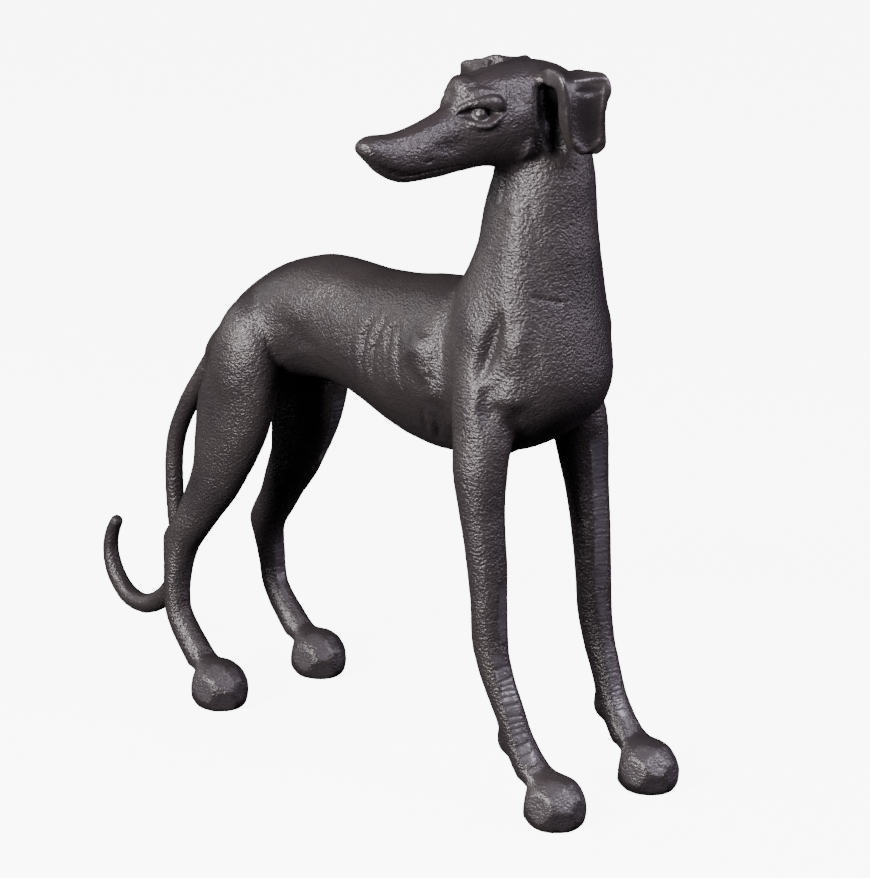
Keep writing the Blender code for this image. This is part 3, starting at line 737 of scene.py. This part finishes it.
def sculpt(points, edges, corners):
    """All strokes and all filing. Returns how strongly each point is filed."""
    normals = even_normals(points, edges, corners)
    for raised, width, *path in BODY_STROKES + RIBS:
        for side in SIDES:
            stroke(points, normals, raised, width, *mirrored(path, side))
    for row in SINGLE_STROKES:
        stroke(points, normals, *row)
    for side in SIDES:
        for raised, width, *path in HEAD_STROKES + FOREHEAD_STROKES:
            stroke(points, normals, raised, width, *head_to_body(mirrored(path, side)))
        for raised, width, *path in EAR_STROKES:
            stroke(points, normals, raised, width, *swung(path, side))
    filed = file_paws(points)
    for row in FILED_EDGES:
        filed = np.maximum(filed, file_edge(points, *row))
    return filed


def fading(points, heart, reach, fade):
    """One around a heart, and less towards its reach."""
    distance = np.linalg.norm(points - heart, axis=1)
    return np.clip(fade - fade * distance / reach, 0, 1)


def grain(points, calm):
    """Height of the casting's grain at each point, less where the surface is calm."""
    height = np.empty(len(points))
    for i, place in enumerate(points.tolist()):
        spot = Vector(place)
        wave = noise.noise(spot / WAVES[0])
        lump = noise.noise(spot / LUMPS[0] + Vector(LUMPS_APART))
        cell = noise.voronoi(spot / GRAINS[0])[0][0]
        height[i] = wave * WAVES[1] + lump * LUMPS[1] + (0.5 - cell) * GRAINS[1] * 2
    return height * calm


def calmness(points, normals, filed):
    """How much grain each point takes: less on top, on filed places, ears and eyes, and none on the soles."""
    most, steepness, growing = CALM_TOP
    calm = 1 - most * np.clip((normals[:, 2] - steepness) / growing, 0, 1)
    calm *= 1 - CALM_FILED * filed
    hearts = [(swung(spot, side), reach) for spot, reach in CALM_EAR_SPOTS for side in SIDES]
    for spot, reach in CALM_FACE_SPOTS:
        hearts += [(head_to_body(mirrored(spot, side)), reach) for side in SIDES]
    for heart, reach in hearts:
        calm *= 1 - CALM_HEAD * fading(points, heart, reach, CALM_FADE)
    height = points[:, 2] + DRAWN_ORIGIN[2]
    return calm * np.clip(height / CALM_ABOVE_SOLE, 0, 1)


def head_points(points):
    """Whether each point belongs to the head."""
    seat = np.array(HEAD_SEAT)
    return (np.linalg.norm(points - seat, axis=1) < HEAD_REACH) & (points[:, 2] > seat[2] - HEAD_BELOW)


def thinned(mesh, on_head, triangles):
    """The mesh with no more triangles than it may have, more of them on the head."""
    def add(carrier):
        plain = carrier.vertex_groups.new(name="plain")
        plain.add(np.flatnonzero(on_head).tolist(), HEAD_THINNING, "REPLACE")
        plain.add(np.flatnonzero(~on_head).tolist(), 1.0, "REPLACE")
        carrier.modifiers.new("triangles", "TRIANGULATE")
        thin = carrier.modifiers.new("thin", "DECIMATE")
        thin.ratio = MOST_TRIANGLES / triangles
        thin.vertex_group = "plain"
        thin.vertex_group_factor = 1.0
    return evaluated(mesh, add)


def even_ways(count):
    """Directions spread evenly over a sphere."""
    ways = []
    for i in range(count):
        height = 1 - (2 * i + 1) / count
        turn = i * math.pi * (3 - math.sqrt(5))
        level = math.sqrt(1 - height * height)
        ways.append(Vector((level * math.cos(turn), level * math.sin(turn), height)))
    return ways


def openness(mesh):
    """How much of the surroundings each vertex sees: 1 in the open, less in a recess."""
    tree = BVHTree.FromPolygons([v.co for v in mesh.vertices], [p.vertices for p in mesh.polygons])
    reach = SHADE_REACH / 1000
    lift = SHADE_RAY_START / 1000
    ways = even_ways(SHADE_RAYS)
    seen = np.ones(len(mesh.vertices))
    for i, vertex in enumerate(mesh.vertices):
        start = vertex.co + vertex.normal * lift
        outward = [way for way in ways if way.dot(vertex.normal) > SHADE_RAY_SLANT]
        hits = sum(tree.ray_cast(start, way, reach)[0] is not None for way in outward)
        seen[i] = 1 - hits / max(len(outward), 1)
    return seen


def store(mesh, name, values):
    """Keeps a value for each point of the mesh, for its material to read."""
    layer = mesh.attributes.new(name, "FLOAT", "POINT")
    layer.data.foreach_set("value", values.astype(np.float32))


def add_painted_shade(mesh, unit):
    """Stores how much painted shade each vertex takes: in recesses, behind the cheeks and in the ears."""
    points, edges, _ = mesh_arrays(mesh)
    points = points / unit - np.array(DRAWN_ORIGIN)
    # shade painted where a point sees little of its surroundings
    painted_shade = np.clip((OPEN_ENOUGH - openness(mesh)) / OPEN_ENOUGH, 0, 1)[:, None]
    # and shade painted behind the cheeks and in the ear cups
    for spot, reach, amount in PAINTED_SHADE_HEAD_SPOTS:
        for side in SIDES:
            here = amount * fading(points, swung(spot, side), reach, SHADE_FADE)
            painted_shade[:, 0] = np.maximum(painted_shade[:, 0], here)
    for _ in range(SHADE_ROUNDS):
        painted_shade = (painted_shade + neighbour_mean(painted_shade, edges)) / 2
    store(mesh, "painted_shade", painted_shade[:, 0])


def casting(node):
    """The greyhound's full surface as one mesh, with how filed and how grainy each point is, and its painted
    shade.
    """
    low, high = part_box(NODE)
    unit = (high.z - low.z) / DRAWN_HEIGHT
    body = even_solid(node, unit)
    skin = skin_over(joined([body] + head_bodies(body[0])), LAST_STEP)
    points, edges, corners = mesh_arrays(skin)
    points = relaxed(points, edges, LAST_ROUNDS)
    points = evened_on_head(points, edges, EYE_SOFTENING)
    filed = sculpt(points, edges, corners)
    points = evened_on_body(points, edges, HOLLOW_SOFTENING)
    normals = normals_of(points, corners)
    calm = calmness(points, normals, filed)
    points += normals * grain(points, calm)[:, None]
    points[:, 2] = np.maximum(points[:, 2], -DRAWN_ORIGIN[2])
    store(skin, "filed", filed)
    store(skin, "grainy", calm)
    on_head = head_points(points)
    points = (points + np.array(DRAWN_ORIGIN)) * unit
    skin.vertices.foreach_set("co", points.astype(np.float32).ravel())
    skin.update()
    mesh = thinned(skin, on_head, len(corners))
    # the painted shade of recesses, cheeks and ears, kept for the material
    add_painted_shade(mesh, unit)
    mesh.shade_smooth()
    return mesh


def new_node(tree, kind, **values):
    """A node of a material, with its settings."""
    node = tree.nodes.new(kind)
    for name, value in values.items():
        setattr(node, name, value)
    return node


def set_inputs(node, names, values):
    """Sets inputs of a node that are the same all over."""
    for name, value in zip(names, values):
        node.inputs[name].default_value = value


def stored(tree, name):
    """A value that the mesh keeps."""
    return new_node(tree, "ShaderNodeAttribute", attribute_name=name).outputs["Fac"]


def mapped(tree, value, least, most):
    """A value between nought and one, brought to another range."""
    node = new_node(tree, "ShaderNodeMapRange")
    set_inputs(node, ("To Min", "To Max"), (least, most))
    tree.links.new(value, node.inputs["Value"])
    return node.outputs["Result"]


def tinted(tree, base, share, colour):
    """A colour that gives way to another by a share."""
    node = new_node(tree, "ShaderNodeMix", data_type="RGBA")
    node.inputs["B"].default_value = colour
    tree.links.new(share, node.inputs["Factor"])
    tree.links.new(base, node.inputs["A"])
    return node.outputs["Result"]


def fine_grain(tree, place):
    """Height of the finest grain: pebbles of about 1.2 mm and sand of about 1.1 mm, drawn out sideways."""
    drawn_out = new_node(tree, "ShaderNodeMapping")
    drawn_out.inputs["Scale"].default_value = SQUEEZED
    tree.links.new(place, drawn_out.inputs["Vector"])
    pebbles = new_node(tree, "ShaderNodeTexVoronoi", feature="SMOOTH_F1")
    set_inputs(pebbles, ("Scale", "Smoothness"), PEBBLES)
    tree.links.new(drawn_out.outputs["Vector"], pebbles.inputs["Vector"])
    sand = new_node(tree, "ShaderNodeTexNoise")
    set_inputs(sand, ("Scale", "Detail", "Roughness"), SAND)
    tree.links.new(drawn_out.outputs["Vector"], sand.inputs["Vector"])
    share = new_node(tree, "ShaderNodeMath", operation="MULTIPLY")
    share.inputs[1].default_value = PEBBLES_SHARE
    tree.links.new(pebbles.outputs["Distance"], share.inputs[0])
    height = new_node(tree, "ShaderNodeMath", operation="SUBTRACT")
    tree.links.new(sand.outputs["Fac"], height.inputs[0])
    tree.links.new(share.outputs["Value"], height.inputs[1])
    return height.outputs["Value"], sand.outputs["Fac"]


def iron_colour(tree, place, painted_shade):
    """Brown-black in faint patches, near black where shade is painted and brighter where it is filed."""
    patches = new_node(tree, "ShaderNodeTexNoise")
    set_inputs(patches, ("Scale", "Detail"), PATCHES)
    tree.links.new(place, patches.inputs["Vector"])
    colour = new_node(tree, "ShaderNodeValToRGB")
    for element, (position, tint) in zip(colour.color_ramp.elements, PATCH_COLOURS):
        element.position = position
        element.color = tint
    tree.links.new(patches.outputs["Fac"], colour.inputs["Fac"])
    # painted shade: near black where the mesh keeps it
    shade_painted = tinted(tree, colour.outputs["Color"], painted_shade, PAINTED_SHADE_COLOUR)
    return tinted(tree, shade_painted, stored(tree, "filed"), FILED_COLOUR)


def iron_bumps(tree, height):
    """The fine grain as bumps, fainter where the surface is calm."""
    bumps = new_node(tree, "ShaderNodeBump")
    bumps.inputs["Distance"].default_value = BUMP_HEIGHT
    tree.links.new(mapped(tree, stored(tree, "grainy"), *BUMPINESS), bumps.inputs["Strength"])
    tree.links.new(height, bumps.inputs["Height"])
    return bumps.outputs["Normal"]


def iron():
    """Dark cast iron: brown-black and half glossy, in faint patches, with a fine pebbled grain."""
    material = bpy.data.materials.new("dark_iron")
    material.use_nodes = True
    tree = material.node_tree
    shader = tree.nodes["Principled BSDF"]
    set_inputs(shader, ("Metallic", "IOR"), (METALLIC, REFRACTION))
    place = new_node(tree, "ShaderNodeNewGeometry").outputs["Position"]
    # the painted shade darkens both the colour and the shine
    painted_shade = stored(tree, "painted_shade")
    height, sand = fine_grain(tree, place)
    tree.links.new(iron_colour(tree, place, painted_shade), shader.inputs["Base Color"])
    tree.links.new(mapped(tree, painted_shade, *SHINE), shader.inputs["Specular IOR Level"])
    tree.links.new(mapped(tree, sand, *ROUGHNESS), shader.inputs["Roughness"])
    tree.links.new(iron_bumps(tree, height), shader.inputs["Normal"])
    return material


def pale_floor():
    """A pale floor that takes the figure's shadow, but throws no light back on it."""
    bpy.ops.mesh.primitive_plane_add(size=FLOOR_SIZE)
    floor = bpy.context.object
    floor.name = "floor"
    floor.visible_diffuse = False
    floor.visible_glossy = False
    material = bpy.data.materials.new("pale_floor")
    material.use_nodes = True
    shader = material.node_tree.nodes["Principled BSDF"]
    set_inputs(shader, ("Base Color", "Roughness"), (FLOOR_COLOUR, FLOOR_ROUGHNESS))
    set_inputs(shader, ("Emission Color", "Emission Strength"), (WHITE, FLOOR_GLOW))
    floor.data.materials.append(material)


def softbox(name, around, above, power, size, colour):
    """A square lamp facing the figure."""
    around, above = math.radians(around + CAMERA_AROUND), math.radians(above)
    level = math.cos(above)
    way = Vector((math.sin(around) * level, -math.cos(around) * level, math.sin(above)))
    data = bpy.data.lights.new(name, "AREA")
    data.shape = "SQUARE"
    data.size = size
    data.energy = power
    data.color = colour
    lamp = bpy.data.objects.new(name, data)
    lamp.location = Vector(FIGURE_MIDDLE) + way * LAMP_DISTANCE
    lamp.rotation_euler = (-way).to_track_quat("-Z", "Y").to_euler()
    bpy.context.scene.collection.objects.link(lamp)


def lamps():
    """The four lamps, and a faint light from all around."""
    for row in LAMPS:
        softbox(*row)
    world = bpy.context.scene.world or bpy.data.worlds.new("world")
    bpy.context.scene.world = world
    world.use_nodes = True
    sky = world.node_tree.nodes["Background"]
    set_inputs(sky, ("Color", "Strength"), (WHITE, SKY_STRENGTH))


def camera():
    """The photo's view."""
    data = bpy.data.cameras.new("camera")
    data.lens = CAMERA_LENS
    data.sensor_width = CAMERA_SENSOR
    view = bpy.data.objects.new("camera", data)
    view.location = CAMERA_PLACE
    view.rotation_euler = (math.radians(90 - CAMERA_DOWN), 0, math.radians(CAMERA_TURN))
    bpy.context.scene.collection.objects.link(view)
    bpy.context.scene.camera = view


def main():
    """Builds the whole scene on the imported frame."""
    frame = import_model()
    camera()
    lamps()
    pale_floor()
    piece = bpy.data.objects.new("greyhound_casting", casting(frame["nodes"][NODE]))
    bpy.context.scene.collection.objects.link(piece)
    piece.data.materials.clear()
    piece.data.materials.append(iron())
    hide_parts(NODE)
    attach(piece, "root")


main()
